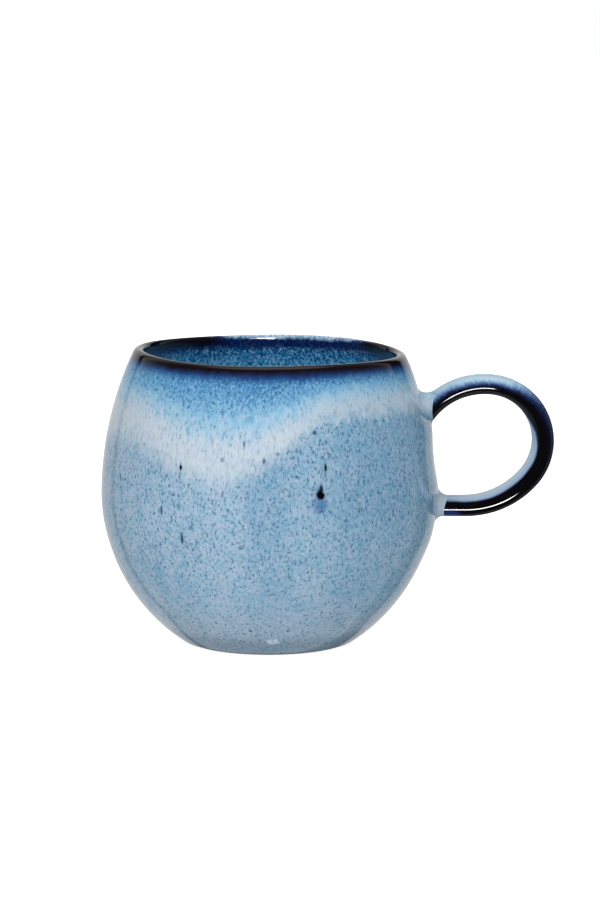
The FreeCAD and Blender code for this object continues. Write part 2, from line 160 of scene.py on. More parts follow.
class Shape:
    """The cup's surfaces at a depth under the glaze, as runs of (radius, height)."""

    def __init__(self, depth):
        self.depth = depth
        self.lower = LOWER_ARC - depth
        self.shoulder = SHOULDER_ARC - depth
        self.lower_centre = (BELLY_RADIUS - LOWER_ARC, BELLY_HEIGHT)
        self.shoulder_centre = (BELLY_RADIUS - SHOULDER_ARC, BELLY_HEIGHT)
        self.inner_lower = LOWER_ARC - WALL + depth
        self.inner_shoulder = INNER_ARC + depth
        self.inner_centre = (BELLY_RADIUS - WALL - INNER_ARC, BELLY_HEIGHT)
        rise = RIM_HEIGHT - LIP_RADIUS - BELLY_HEIGHT
        run = math.sqrt((SHOULDER_ARC - LIP_RADIUS) ** 2 - rise**2)
        self.crest = run + self.shoulder_centre[0]
        inner_run, height = self.crest - self.inner_centre[0], RIM_HEIGHT - BELLY_HEIGHT
        inner_round = (inner_run**2 + height**2 - INNER_ARC**2) / (2 * (height + INNER_ARC))
        self.lip_centres = (self.crest, RIM_HEIGHT - LIP_RADIUS), (self.crest, RIM_HEIGHT - inner_round)
        self.lip_rounds = LIP_RADIUS - depth, inner_round - depth
        self.lean_out = math.atan2(rise, run)
        self.lean_in = math.atan2(RIM_HEIGHT - inner_round - BELLY_HEIGHT, inner_run)
        self.floor_round, self.floor_height = FLOOR_ROUND + depth, FLOOR_HEIGHT - depth
        drop = BELLY_HEIGHT - self.floor_height - self.floor_round
        reach = self.inner_lower - self.floor_round
        self.slant = math.asin(drop / reach)
        self.floor_edge = reach * math.cos(self.slant) + self.lower_centre[0]

    def angle_at(self, arc, height):
        return math.asin((height - BELLY_HEIGHT) / arc)

    def outside(self, low, high, lower_count, upper_count):
        first, last = self.angle_at(self.lower, low), self.angle_at(self.shoulder, high)
        return join(
            arc_run(self.lower_centre, self.lower, first, 0, lower_count),
            arc_run(self.shoulder_centre, self.shoulder, 0, last, upper_count),
        )

    def lip(self, outside_from, inside_to, counts):
        """From a height outside, over the crest, to a height inside."""
        first = self.angle_at(self.shoulder, outside_from)
        last = self.angle_at(self.inner_shoulder, inside_to)
        rest = arc_run(self.inner_centre, self.inner_shoulder, self.lean_in, last, counts[3])
        return join(
            arc_run(self.shoulder_centre, self.shoulder, first, self.lean_out, counts[0]),
            arc_run(self.lip_centres[0], self.lip_rounds[0], self.lean_out, math.pi / 2, counts[1]),
            arc_run(
                self.lip_centres[1], self.lip_rounds[1], math.pi / 2, math.pi + self.lean_in, counts[2]
            ),
            (rest[0], -rest[1]),
        )

    def inside(self, high, counts):
        """From a height inside down to the middle of the floor."""
        first = self.angle_at(self.inner_shoulder, high)
        upper = arc_run(self.inner_centre, self.inner_shoulder, first, 0, counts[0])
        lower = arc_run(self.lower_centre, self.inner_lower, 0, -self.slant, counts[1])
        centre = (self.floor_edge, self.floor_height + self.floor_round)
        corner = arc_run(centre, self.floor_round, -self.slant, -math.pi / 2, counts[2])
        radii = np.linspace(self.floor_edge, 0, counts[3])
        floor = np.stack([radii, np.full_like(radii, self.floor_height)], -1)
        up = np.tile([0.0, 1.0], (counts[3], 1))
        return join((upper[0], -upper[1]), (lower[0], -lower[1]), (corner[0], -corner[1]), (floor, up))


def join(*runs):
    """Runs one after another, without the doubled points between them."""
    points = [runs[0][0]] + [run[0][1:] for run in runs[1:]]
    normals = [runs[0][1]] + [run[1][1:] for run in runs[1:]]
    return np.concatenate(points), np.concatenate(normals)


def turned(loop, columns):
    """Points and faces of a closed loop of (radius, height) turned round the axis. Ends on the axis
    become single points."""
    angles = np.arange(columns) * TAU / columns
    if loop[0][0] > 1e-6:
        points = warp(loop[:, :1], loop[:, 1:], angles[None, :]).reshape(-1, 3)
        return points, ring_faces(len(loop), columns)
    middle = loop[1:-1]
    points = warp(middle[:, :1], middle[:, 1:], angles[None, :]).reshape(-1, 3)
    poles = np.array([[0, 0, loop[0][1]], [0, 0, loop[-1][1]]])
    faces = ring_faces(len(middle), columns, closed=False)
    first, last = len(points), len(points) + 1
    top = (len(middle) - 1) * columns
    for column in range(columns):
        after = (column + 1) % columns
        faces.append((first, after, column))
        faces.append((last, top + column, top + after))
    return np.concatenate([points, poles]), faces


GLAZED, CLAY = Shape(0.0), Shape(GLAZE)
COLUMNS = 360

# Body glaze: outer side, then back down its inner side. Its foot edge is a rounded bead.
outer = GLAZED.outside(FOOT_LINE, RIM_LINE_OUTSIDE, 70, 66)[0]
inner = CLAY.outside(FOOT_LINE, RIM_LINE_OUTSIDE, 8, 7)[0][::-1]
bead_turn = np.linspace(-math.pi, 0, 9)[1:-1]
along = (outer[1] - outer[0]) / np.linalg.norm(outer[1] - outer[0])
middle, half = (outer[0] + inner[-1]) / 2, (outer[0] - inner[-1]) / 2
bead = [middle + half * math.cos(t) + along * math.sin(t) * GLAZE * 0.5 for t in bead_turn]
body_points, body_faces = turned(np.concatenate([outer, inner, bead]), COLUMNS)

# Rim glaze and inner glaze.
lip_out = GLAZED.lip(RIM_LINE_OUTSIDE, RIM_LINE_INSIDE, (4, 14, 14, 6))[0]
lip_in = CLAY.lip(RIM_LINE_OUTSIDE, RIM_LINE_INSIDE, (3, 5, 5, 3))[0][::-1]
points, faces = turned(np.concatenate([lip_out, lip_in]), COLUMNS)
rim = new_piece("rim_glaze_coat", points, faces, "rim_glaze", "rim_glaze")

inside_face = GLAZED.inside(RIM_LINE_INSIDE, (50, 34, 16, 12))[0]
inside_back = CLAY.inside(RIM_LINE_INSIDE, (8, 6, 5, 3))[0]
points, faces = turned(np.concatenate([inside_face[::-1], inside_back]), COLUMNS)
inside = new_piece("inner_glaze_coat", points, faces, "inner_glaze", "inner_glaze")

# Clay cup.
corner_angle = math.asin((BELLY_HEIGHT - FOOT_CORNER) / (CLAY.lower - FOOT_CORNER))
corner_x = (CLAY.lower - FOOT_CORNER) * math.cos(corner_angle) + CLAY.lower_centre[0]
foot_round = arc_run((corner_x, FOOT_CORNER), FOOT_CORNER, -math.pi / 2, -corner_angle, 10)
foot_top = FOOT_CORNER * (1 - math.sin(corner_angle))
foot_edge = arc_run((FOOT_INNER + FOOT_EDGE, FOOT_EDGE), FOOT_EDGE, -math.pi * 0.86, -math.pi / 2, 6)
ceiling = [(0, RECESS), (6, RECESS), (12, RECESS), (FOOT_INNER - FOOT_SLOPE, RECESS)]
clay_loop = np.concatenate(
    [
        ceiling,
        join(foot_edge, foot_round, CLAY.outside(foot_top, RIM_LINE_OUTSIDE, 40, 30))[0],
        CLAY.lip(RIM_LINE_OUTSIDE, RIM_LINE_INSIDE, (2, 8, 8, 3))[0][1:],
        CLAY.inside(RIM_LINE_INSIDE, (30, 20, 10, 5))[0][1:],
    ]
)
points, faces = turned(clay_loop, 240)
clay = new_piece("cup_clay", points, faces, "stoneware", "stoneware_cup")


# ---- Handle ----


class Path:
    """The handle's centre line in the XZ plane, by length from its start inside the lower root."""

    def __init__(self):
        low_centre = np.array([HANDLE_RUN, HANDLE_LOW + LOW_ARC])
        across = OUTER_CENTRE - HANDLE_RUN
        outer_centre = low_centre + [across, -math.sqrt((LOW_ARC - OUTER_ARC) ** 2 - across**2)]
        rise = TOP_CENTRE_HEIGHT - outer_centre[1]
        top_centre = outer_centre + [-math.sqrt((TOP_ARC - OUTER_ARC) ** 2 - rise**2), rise]
        low_turn = math.atan2(*(outer_centre - low_centre)[::-1])
        top_turn = math.atan2(*(outer_centre - top_centre)[::-1])
        end_turn = math.pi - math.asin((HANDLE_END_HEIGHT - top_centre[1]) / TOP_ARC)
        self.arcs = [
            (low_centre, LOW_ARC, -math.pi / 2, low_turn),
            (outer_centre, OUTER_ARC, low_turn, top_turn),
            (top_centre, TOP_ARC, top_turn, end_turn),
        ]
        self.level = HANDLE_RUN - HANDLE_START
        self.length = self.level + sum(r * (last - first) for _, r, first, last in self.arcs)

    def at(self, length):
        """Centre point and outward normal, away from the ring's middle, at a length."""
        if length < self.level:
            return np.array([HANDLE_START + length, HANDLE_LOW]), np.array([0.0, -1.0])
        length -= self.level
        for centre, radius, first, last in self.arcs:
            turn = first + length / radius
            if turn <= last or radius == TOP_ARC:
                normal = np.array([math.cos(turn), math.sin(turn)])
                return centre + radius * normal, normal
            length -= radius * (last - first)


PATH = Path()


def tube_point(length, turn, depth=0.0):
    """A point of the handle's surface. Turn 0 is the side away from the ring's middle."""
    centre, normal = PATH.at(length)
    shares, sizes = zip(*HANDLE_THICK)
    share = length / PATH.length
    thick = np.interp([share - 0.05, share, share + 0.05], shares, sizes).mean() / 2 - depth
    wide = HANDLE_WIDE / 2 - depth
    out = thick * math.cos(turn)
    side = wide * math.sin(turn)
    return np.array([centre[0] + normal[0] * out, side, centre[1] + normal[1] * out])


def wall_gap(point):
    """Distance from the cup's warped outside, along the radius, positive outside."""
    radius, angle = math.hypot(point[0], point[1]), math.atan2(point[1], point[0])
    return radius - wall_radius(angle, point[2])


def wall_radius(angle, height):
    """Radius of the warped outside at an angle and a height."""
    level = height
    for _ in range(3):
        arc, centre = SHOULDER_ARC, GLAZED.shoulder_centre
        if level < BELLY_HEIGHT:
            arc, centre = LOWER_ARC, GLAZED.lower_centre
        radius = math.sqrt(arc**2 - (level - BELLY_HEIGHT) ** 2) + centre[0]
        moved = warp(radius, level, angle)
        level += height - moved[2]
    return math.hypot(moved[0], moved[1])


def wall_point(angle, height):
    radius = wall_radius(angle, height)
    return np.array([radius * math.cos(angle), radius * math.sin(angle), height])


def wall_normal(angle, height):
    """Unit normal of the warped outside at an angle and a height."""
    rise, turn = 0.05, 0.001
    round_ = wall_point(angle + turn, height) - wall_point(angle - turn, height)
    up = wall_point(angle, height + rise) - wall_point(angle, height - rise)
    normal = np.cross(round_, up)
    return normal / np.linalg.norm(normal)


def tube_length_at(turn, target, low, high):
    """Where along the tube a line of its surface reaches a value of the function target."""
    start = target(tube_point(low, turn)) > 0
    for _ in range(40):
        middle = (low + high) / 2
        if (target(tube_point(middle, turn)) > 0) == start:
            low = middle
        else:
            high = middle
    return (low + high) / 2


TURNS = 96  # points round the tube
turns = np.arange(TURNS) * TAU / TURNS
MID = PATH.length / 2


def lower_edge(point):
    """The dark glaze's border over the lower root: a leaning line."""
    return point[0] - (48.6 + 0.30 * (point[2] - 36.0) + 0.25 * math.sin(point[1] * 1.3))


def upper_edge(point):
    """The same over the upper root: nearly upright."""
    return point[0] - (46.2 + 0.12 * math.sin(point[2] * 0.9))


lower_start = [tube_length_at(t, lower_edge, 1.0, MID) for t in turns]
upper_start = [tube_length_at(t, upper_edge, MID, PATH.length - 1.0) for t in turns]


def tube_rows(starts, ends, count, depth=0.0):
    """Rows of the handle's coat between its borders, or of its inner side at a depth."""
    return [
        [tube_point(a + (b - a) * share, t, depth) for a, b, t in zip(starts, ends, turns)]
        for share in np.linspace(0, 1, count)
    ]


def unit(vector):
    return vector / np.linalg.norm(vector)


def collar_rows(border, span, toward):
    """Rows of the body glaze over a root: along the tube, round the fillet and onto the wall.

    The root lies in the span of the tube, and toward is 1 or -1, the way along the tube that leads
    off the cup.
    """
    columns = []
    for turn, edge in zip(turns, border):
        length = tube_length_at(turn, wall_gap, *span)
        meet = tube_point(length, turn)
        step = 0.05 * toward
        along_tube = unit(tube_point(length + step, turn) - meet)
        normal = wall_normal(math.atan2(meet[1], meet[0]), meet[2])
        around = tube_point(length, turn + 0.01) - tube_point(length, turn - 0.01)
        across = unit(np.cross(normal, around))
        ring_middle, _ = PATH.at(length)
        away = meet - np.array([ring_middle[0], 0, ring_middle[1]])
        if np.dot(across, away) < 0:
            across = -across

        # The fillet leaves the tube at start and lands on the wall at end.
        opening = math.acos(np.clip(np.dot(along_tube, across), -1, 1))
        reach = min(SLIP_RADIUS / math.tan(opening / 2), SLIP_REACH)
        on_tube = length + toward * reach
        start = tube_point(on_tube, turn)
        tangent = unit(tube_point(on_tube - step, turn) - start)
        land = meet + across * reach
        land_angle = math.atan2(land[1], land[0])
        end = wall_point(land_angle, land[2])
        end_normal = wall_normal(land_angle, land[2])
        control = start + tangent * np.dot(end - start, end_normal) / np.dot(tangent, end_normal)
        weight = math.sin(opening / 2)
        column = [tube_point(edge + (on_tube - edge) * s, turn) for s in np.linspace(0, 1, 6)]
        for s in np.linspace(0, 1, 18)[1:]:
            parts = (1 - s) ** 2, 2 * s * (1 - s) * weight, s * s
            point = (parts[0] * start + parts[1] * control + parts[2] * end) / sum(parts)
            column.append(point)

        # Past the wall's surface, and back under the glaze to the border.
        column.append(end + unit(end - control) * 0.3 - end_normal * 0.12)
        column.append(end - end_normal * GLAZE)
        column.append(meet - normal * GLAZE - away * 0.1)
        column.append(tube_point(on_tube, turn, GLAZE))
        column.append(tube_point(edge, turn, GLAZE))
        columns.append(column)
    return np.array(columns).transpose(1, 0, 2)


def collar(name, border, span, toward, node):
    rows = collar_rows(border, span, toward)
    faces = ring_faces(len(rows), TURNS)
    return new_piece(name, rows.reshape(-1, 3), faces, "body_glaze", node)


lower_span = 0.5, MID * 0.6
upper_span = MID * 1.4, PATH.length - 0.2
lower_collar = collar("lower_joint_collar", lower_start, lower_span, 1, "lower_slip_joint")
upper_collar = collar("upper_joint_collar", upper_start, upper_span, -1, "upper_slip_joint")
body = new_piece("body_glaze_coat", body_points, body_faces, "body_glaze", "body_glaze")

coat_rows = tube_rows(lower_start, upper_start, 260)
under_rows = tube_rows(upper_start, lower_start, 90, GLAZE)
tube = np.concatenate([np.array(coat_rows), np.array(under_rows)])
tube_faces = ring_faces(len(tube), TURNS)
handle = new_piece("handle_glaze_coat", tube.reshape(-1, 3), tube_faces, "handle_glaze", "handle_glaze")


# ---- Materials ----


def srgb(red, green, blue):
    """A colour given in 0 to 255 as it looks, in the shader's linear values."""
    values = [v / 255 for v in (red, green, blue)]
    return tuple(v / 12.92 if v <= 0.04045 else ((v + 0.055) / 1.055) ** 2.4 for v in values) + (1.0,)


class Graph:
    """Adds nodes to a tree. An input is a socket or a plain value."""

    def __init__(self, tree):
        self.tree = tree

    def node(self, kind, inputs=(), **settings):
        node = self.tree.nodes.new(kind)
        for name, value in settings.items():
            setattr(node, name, value)
        for key, value in dict(inputs).items():
            self.feed(node.inputs[key], value)
        return node

    def feed(self, socket, value):
        if isinstance(value, bpy.types.NodeSocket):
            self.tree.links.new(value, socket)
        else:
            socket.default_value = value

    def math(self, operation, first, second=0.0, third=0.0):
        inputs = {0: first, 1: second, 2: third}
        return self.node("ShaderNodeMath", inputs, operation=operation).outputs[0]

    def add(self, first, second):
        return self.math("ADD", first, second)

    def times(self, first, second):
        return self.math("MULTIPLY", first, second)

    def step(self, value, low, high, to_low=0.0, to_high=1.0):
        """A smooth step of a value from one level to another."""
        inputs = {"Value": value, "From Min": low, "From Max": high, "To Min": to_low, "To Max": to_high}
        return self.node("ShaderNodeMapRange", inputs, interpolation_type="SMOOTHSTEP").outputs[0]

    def uneven(self, noise, amount):
        """A noise as a shift to both sides."""
        return self.times(self.math("SUBTRACT", noise, 0.5), amount)

    def mix(self, share, first, second, blend="MIX"):
        node = self.node("ShaderNodeMix", data_type="RGBA", blend_type=blend)
        for index, value in ((0, share), (6, first), (7, second)):
            self.feed(node.inputs[index], value)
        return node.outputs[2]

    def noise(self, place, scale, detail=2.0, roughness=0.5):
        inputs = {"Vector": place, "Scale": scale, "Detail": detail, "Roughness": roughness}
        return self.node("ShaderNodeTexNoise", inputs).outputs["Fac"]

    def ramp(self, value, *stops):
        node = self.node("ShaderNodeValToRGB", {"Fac": value})
        elements = node.color_ramp.elements
        elements.remove(elements[1])
        elements[0].position, elements[0].color = stops[0]
        for place, colour in stops[1:]:
            elements.new(place).color = colour
        return node.outputs[0]

    def vector(self, operation, first, second=(0, 0, 0)):
        """The outputs of a vector calculation: a vector, then a value."""
        return self.node("ShaderNodeVectorMath", {0: first, 1: second}, operation=operation).outputs

    def scaled(self, vector, x, y, z):
        return self.vector("MULTIPLY", vector, (x, y, z))[0]

    def moved(self, vector, x, y, z):
        return self.vector("ADD", vector, (x, y, z))[0]

    def distance(self, first, second):
        return self.vector("DISTANCE", first, second)["Value"]

    def dot(self, first, second):
        return self.vector("DOT_PRODUCT", first, second)["Value"]


def new_material(name):
    material = bpy.data.materials.new(name)
    material.use_nodes = True
    graph = Graph(material.node_tree)
    return material, graph, material.node_tree.nodes["Principled BSDF"]


def place_in_mm(graph):
    """Object position in millimetres and its x, y and z."""
    place = graph.scaled(graph.node("ShaderNodeTexCoord").outputs["Object"], 1000, 1000, 1000)
    parts = graph.node("ShaderNodeSeparateXYZ", {0: place}).outputs
    return place, parts[0], parts[1], parts[2]


def on_wall(degrees, height):
    """A point of the cup's outside, by degrees to the right of its front and by height."""
    angle = math.radians(degrees - 90)
    radius = wall_radius(angle, height)
    return radius * math.cos(angle), radius * math.sin(angle), height


# Iron spots: degrees from the front, height, half width, half height and strength.
SPOTS = [
    (17.5, 49.3, 1.15, 1.4, 1.0),
    (17.9, 50.7, 0.5, 1.3, 0.9),
    (19.6, 56.6, 0.38, 1.1, 0.9),
    (19.4, 54.9, 0.2, 0.7, 0.5),
    (16.4, 66.1, 0.5, 0.6, 0.8),
    (-1.6, 58.6, 0.38, 0.7, 0.65),
    (3.2, 60.6, 0.5, 0.45, 0.5),
    (-8.5, 63.1, 0.28, 0.9, 0.6),
    (-16.0, 58.8, 0.5, 0.6, 0.4),
    (-31.3, 56.0, 0.36, 0.8, 1.0),
    (-31.5, 53.8, 0.22, 1.6, 0.5),
    (-38.7, 43.6, 0.36, 1.1, 0.8),
    (-30.6, 36.5, 0.45, 1.5, 0.8),
    (-61.5, 50.6, 0.35, 1.1, 0.7),
    (9.4, 54.4, 0.3, 0.45, 0.5),
    (9.6, 61.0, 0.3, 0.4, 0.35),
    (118.0, 57.0, 0.5, 0.9, 0.8),
    (151.0, 44.0, 0.4, 0.6, 0.7),
    (-128.0, 61.0, 0.35, 0.7, 0.7),
    (-152.0, 36.0, 0.6, 0.9, 0.9),
]
HALO = (17.4, 46.4, 2.6, 2.9)


def make_glaze_group():
    """The blue glaze: its colour, and a height for the bump, from the place on the cup."""
    tree = bpy.data.node_groups.new("blue_glaze", "ShaderNodeTree")
    tree.interface.new_socket("Inside", in_out="INPUT", socket_type="NodeSocketFloat")
    tree.interface.new_socket("Color", in_out="OUTPUT", socket_type="NodeSocketColor")
    tree.interface.new_socket("Height", in_out="OUTPUT", socket_type="NodeSocketFloat")
    g = Graph(tree)
    inside = g.node("NodeGroupInput").outputs["Inside"]
    place, x, y, z = place_in_mm(g)
    angle = g.times(g.math("ARCTAN2", x, g.times(y, -1.0)), 180 / math.pi)

    # Depth below the uneven rim.
    round_ = g.math("ARCTAN2", y, x)
    lean = g.times(g.math("COSINE", round_), -RIM_LEAN)
    wave = g.times(g.math("COSINE", g.times(round_, 3.0)), -RIM_WAVE)
    depth = g.math("SUBTRACT", g.add(g.add(lean, wave), RIM_HEIGHT), z)

    # Streaks that the glaze draws downwards, soft patches, and two fine mottles.
    streaks = g.noise(g.scaled(place, 1.0, 1.0, 0.2), 0.8, 3.0, 0.6)
    patches = g.noise(place, 0.06, 2.0, 0.5)
    blots = g.noise(g.moved(place, 57.0, 13.0, 91.0), 0.17, 3.0, 0.55)
    mottle = g.noise(g.scaled(place, 1.0, 1.0, 0.66), 1.55, 2.5, 0.6)
    drawn = g.noise(g.scaled(place, 1.0, 1.0, 0.3), 1.55, 2.5, 0.6)
    edge = g.noise(g.moved(place, 31.0, 7.0, 3.0), 0.4, 3.0, 0.6)
    tints = g.noise(g.moved(place, -45.0, 20.0, 66.0), 0.34, 2.0, 0.5)
    flavour = g.noise(g.moved(place, 12.0, -80.0, 40.0), 0.95, 2.0, 0.5)

    # The cloud band's middle height: low at the left of the front, high at its right.
    cloud_height = g.add(g.step(angle, -58.0, -20.0, 68.0, 59.6), g.step(angle, -16.0, 26.0, 0.0, 14.0))
    cloud_height = g.add(cloud_height, g.step(angle, 52.0, 120.0, 0.0, -5.6))
    off_front = g.math("ABSOLUTE", angle)
    waves = g.times(g.math("SINE", g.times(round_, 3.0)), g.step(off_front, 75.0, 120.0, 0.0, 3.0))
    cloud_height = g.add(g.add(cloud_height, waves), g.uneven(blots, 4.0))

    # Above it: dark band at the rim, cobalt, then paler down to the cloud.
    run = g.uneven(streaks, g.step(depth, 2.0, 12.0, 0.10, 0.55))
    share = g.math("DIVIDE", depth, g.math("SUBTRACT", RIM_HEIGHT, cloud_height))
    level = g.add(g.times(g.add(share, run), 0.8), g.step(angle, -16.0, -4.0, 0.0, -0.06))
    level = g.add(level, g.step(angle, 2.0, 14.0, 0.0, -0.09))
    level = g.add(level, g.step(angle, 24.0, 34.0, 0.0, 0.07))
    top = g.ramp(
        level,
        (0.03, srgb(30, 76, 128)),
        (0.12, srgb(62, 121, 170)),
        (0.20, srgb(84, 140, 183)),
        (0.30, srgb(97, 153, 192)),
        (0.40, srgb(117, 168, 201)),
        (0.50, srgb(142, 185, 209)),
        (0.62, srgb(162, 191, 211)),
        (0.76, srgb(183, 199, 211)),
    )
    cream = g.times(g.step(level, 0.55, 0.8), g.step(flavour, 0.42, 0.66, 0.0, 0.8))
    top = g.mix(cream, top, srgb(196, 201, 207))
    tinted = g.times(g.step(level, 0.25, 0.5), g.step(tints, 0.50, 0.70, 0.0, 0.35))
    top = g.mix(tinted, top, srgb(176, 188, 212))
    # Dimmer at the right of the front: partly the glaze, partly painted shade of the side away from the
    # light.
    dimmer = g.mix(g.step(level, 0.3, 0.7), top, srgb(154, 182, 201))
    top = g.mix(g.step(angle, 2.0, 30.0, 0.05, 0.6), top, dimmer)

    # Below it: light blue at the left, deeper at the right (partly the glaze, partly painted shade of
    # the side away from the light), greyer by the foot and darker at it with painted shade.
    deep_and_shaded = g.add(g.step(angle, -12.0, -4.0, 0.0, 0.8), g.step(angle, 3.0, 10.0, 0.0, -0.45))
    deep_and_shaded = g.add(deep_and_shaded, g.step(angle, 18.0, 29.0, 0.0, 0.6))
    deep_and_shaded = g.times(deep_and_shaded, g.step(z, 26.0, 50.0, 0.6, 1.0))
    deep_and_shaded = g.times(deep_and_shaded, g.step(angle, 150.0, 100.0))
    blue = g.mix(deep_and_shaded, srgb(150, 178, 199), srgb(112, 152, 181))
    blue = g.mix(g.step(patches, 0.46, 0.66, 0.0, 0.4), blue, srgb(126, 164, 190))
    lilac, teal, plain = srgb(174, 184, 206), srgb(112, 168, 190), g.step(deep_and_shaded, 0.0, 1.0, 0.8, 0.4)
    blue = g.mix(g.times(g.step(blots, 0.52, 0.70, 0.0, 0.40), plain), blue, lilac)
    blue = g.mix(g.times(g.step(blots, 0.48, 0.32, 0.0, 0.50), plain), blue, teal)
    blue = g.mix(g.times(g.step(tints, 0.52, 0.68, 0.0, 0.45), plain), blue, lilac)
    blue = g.mix(g.step(tints, 0.48, 0.34, 0.0, 0.45), blue, srgb(106, 154, 186))
    blue = g.mix(g.times(g.step(flavour, 0.50, 0.68, 0.0, 0.45), plain), blue, lilac)
    blue = g.mix(g.step(flavour, 0.50, 0.34, 0.0, 0.40), blue, teal)
    blue = g.mix(g.step(z, 20.0, 8.0, 0.0, 0.5), blue, srgb(158, 174, 186))
    # Darker right by the foot: painted shade, low down where the cup meets the floor.
    blue = g.mix(g.step(z, 8.0, 3.5, 0.0, 0.8), blue, srgb(116, 138, 156))
    below = g.add(g.math("SUBTRACT", cloud_height, z), g.uneven(streaks, 9.0))
    below = g.add(below, g.uneven(edge, 4.0))
    low_end = g.step(angle, -20.0, 28.0, 11.0, 6.5)
    leave = g.step(below, 2.0, low_end)
    colour = g.mix(leave, top, blue)

    # Speckle: fine dark dots and pale flecks, drawn out where the glaze has run.
    in_cloud = g.times(g.step(share, 0.45, 0.75), g.step(leave, 0.9, 0.2))
    long_dots = g.math("MAXIMUM", in_cloud, g.step(z, 28.0, 12.0, 0.0, 0.5))
    grain = g.node("ShaderNodeMix", {0: long_dots, 2: mottle, 3: drawn}, data_type="FLOAT").outputs[0]
    amount = g.add(g.step(leave, 0.0, 1.0, 0.40, 1.0), g.step(share, 1.0, 0.45, 0.0, 0.65))
    amount = g.add(amount, g.step(z, 28.0, 12.0, 0.0, 0.5))
    dots = g.times(g.step(grain, 0.51, 0.69), amount)
    flecks = g.times(g.step(grain, 0.49, 0.33), g.step(depth, 2.5, 5.0, 0.3, 1.0))
    shown = g.step(depth, 1.6, 4.0)
    dark = g.mix(0.5, g.mix(1.0, colour, srgb(150, 178, 196), "MULTIPLY"), srgb(56, 98, 138))
    colour = g.mix(g.times(g.times(dots, shown), g.step(flavour, 0.35, 0.65, 1.0, 0.85)), colour, dark)
    pale = g.mix(g.step(depth, 4.0, 16.0), srgb(124, 178, 212), srgb(196, 208, 222))
    colour = g.mix(g.times(g.times(flecks, shown), g.step(depth, 4.0, 16.0, 0.8, 0.25)), colour, pale)

    # The rim's band, which breaks to pale blue over the crest at the back, made paler there with a
    # painted reflection of the grazing light.
    behind = g.step(g.math("ABSOLUTE", g.math("WRAP", g.add(angle, -168.0), 180.0, -180.0)), 52.0, 16.0)
    thin = g.times(g.math("SUBTRACT", 1.0, behind), 2.0)
    ragged = g.add(depth, g.uneven(streaks, 0.9))
    ragged = g.add(ragged, g.uneven(edge, 1.2))
    colour = g.mix(g.step(ragged, 5.2, 1.9, 0.0, 0.85), colour, srgb(22, 48, 104))
    colour = g.mix(g.step(ragged, 3.2, 1.0), colour, srgb(22, 13, 18))

    # Inside: dark dots and pale flecks on a blue that is deeper at the sides and under the rim.
    inner = g.ramp(
        g.times(depth, 0.02),
        (0.05, srgb(14, 72, 136)),
        (0.10, srgb(30, 124, 184)),
        (0.18, srgb(82, 182, 234)),
        (0.40, srgb(130, 212, 250)),
    )
    inner = g.mix(g.times(g.step(mottle, 0.50, 0.64), 0.92), inner, srgb(12, 66, 124))
    inner = g.mix(g.times(g.step(mottle, 0.49, 0.36), 0.75), inner, srgb(164, 214, 246))
    inner = g.mix(g.step(off_front, 140.0, 110.0, 0.0, 0.75), inner, srgb(10, 44, 90))
    inner_edge = g.add(depth, g.uneven(edge, 2.0))
    inner = g.mix(g.step(inner_edge, 4.8, 2.9, 0.0, 0.9), inner, srgb(6, 30, 96))
    band = g.times(g.step(inner_edge, 3.4, 2.2), g.step(behind, 0.8, 0.2))
    inner = g.mix(band, inner, srgb(14, 10, 22))
    colour = g.mix(inside, colour, inner)
    # The pale crest at the back: the glaze's own break to pale blue, brightened as a painted reflection.
    crest = g.mix(g.step(mottle, 0.46, 0.64), srgb(176, 204, 224), srgb(96, 140, 184))
    crest_sheen_share = g.mix(inside, g.step(depth, 5.0, 1.0), g.step(g.add(inner_edge, thin), 1.7, 0.2))
    colour = g.mix(g.times(g.step(behind, 0.0, 0.5), crest_sheen_share), colour, crest)

    # Thinner and greyer over the handle's joints.
    joints = g.times(g.step(x, 46.4, 48.6, 0.0, 0.6), g.step(z, 66.0, 62.0))
    colour = g.mix(joints, colour, srgb(188, 197, 206))

    # Iron spots, the largest with a blue halo under it.
    wobble = g.uneven(edge, 1.8)
    degrees, height, half_width, half_height = HALO
    halo = near_spot(g, place, degrees, height, half_width, half_height, g.times(wobble, 0.6))
    halo_colour = g.mix(dots, srgb(66, 116, 164), srgb(22, 60, 106))
    colour = g.mix(g.step(halo, 1.3, 0.2, 0.0, 0.85), colour, halo_colour)
    spots = [(near_spot(g, place, *spot[:4], wobble), spot[4]) for spot in SPOTS]
    for apart, strength in spots:
        colour = g.mix(g.step(apart, 2.2, 0.9, 0.0, 0.45 * strength), colour, srgb(92, 134, 168))
    for apart, strength in spots:
        core = srgb(4, 7, 20) if strength > 0.8 else srgb(34, 52, 88)
        colour = g.mix(g.step(apart, 1.25, 0.7, 0.0, strength), colour, core)

    output = g.node("NodeGroupOutput")
    g.feed(output.inputs["Color"], colour)
    g.feed(output.inputs["Height"], g.add(g.times(grain, 0.25), blots))
    return tree


def near_spot(g, place, degrees, height, half_width, half_height, wobble):
    """Distance from a spot's middle, 1 at its edge."""
    squeezed = (1 / half_width, 1 / half_width, 1 / half_height)
    middle = tuple(value * factor for value, factor in zip(on_wall(degrees, height), squeezed))
    return g.add(g.distance(g.scaled(place, *squeezed), middle), wobble)


GLAZE_GROUP = make_glaze_group()


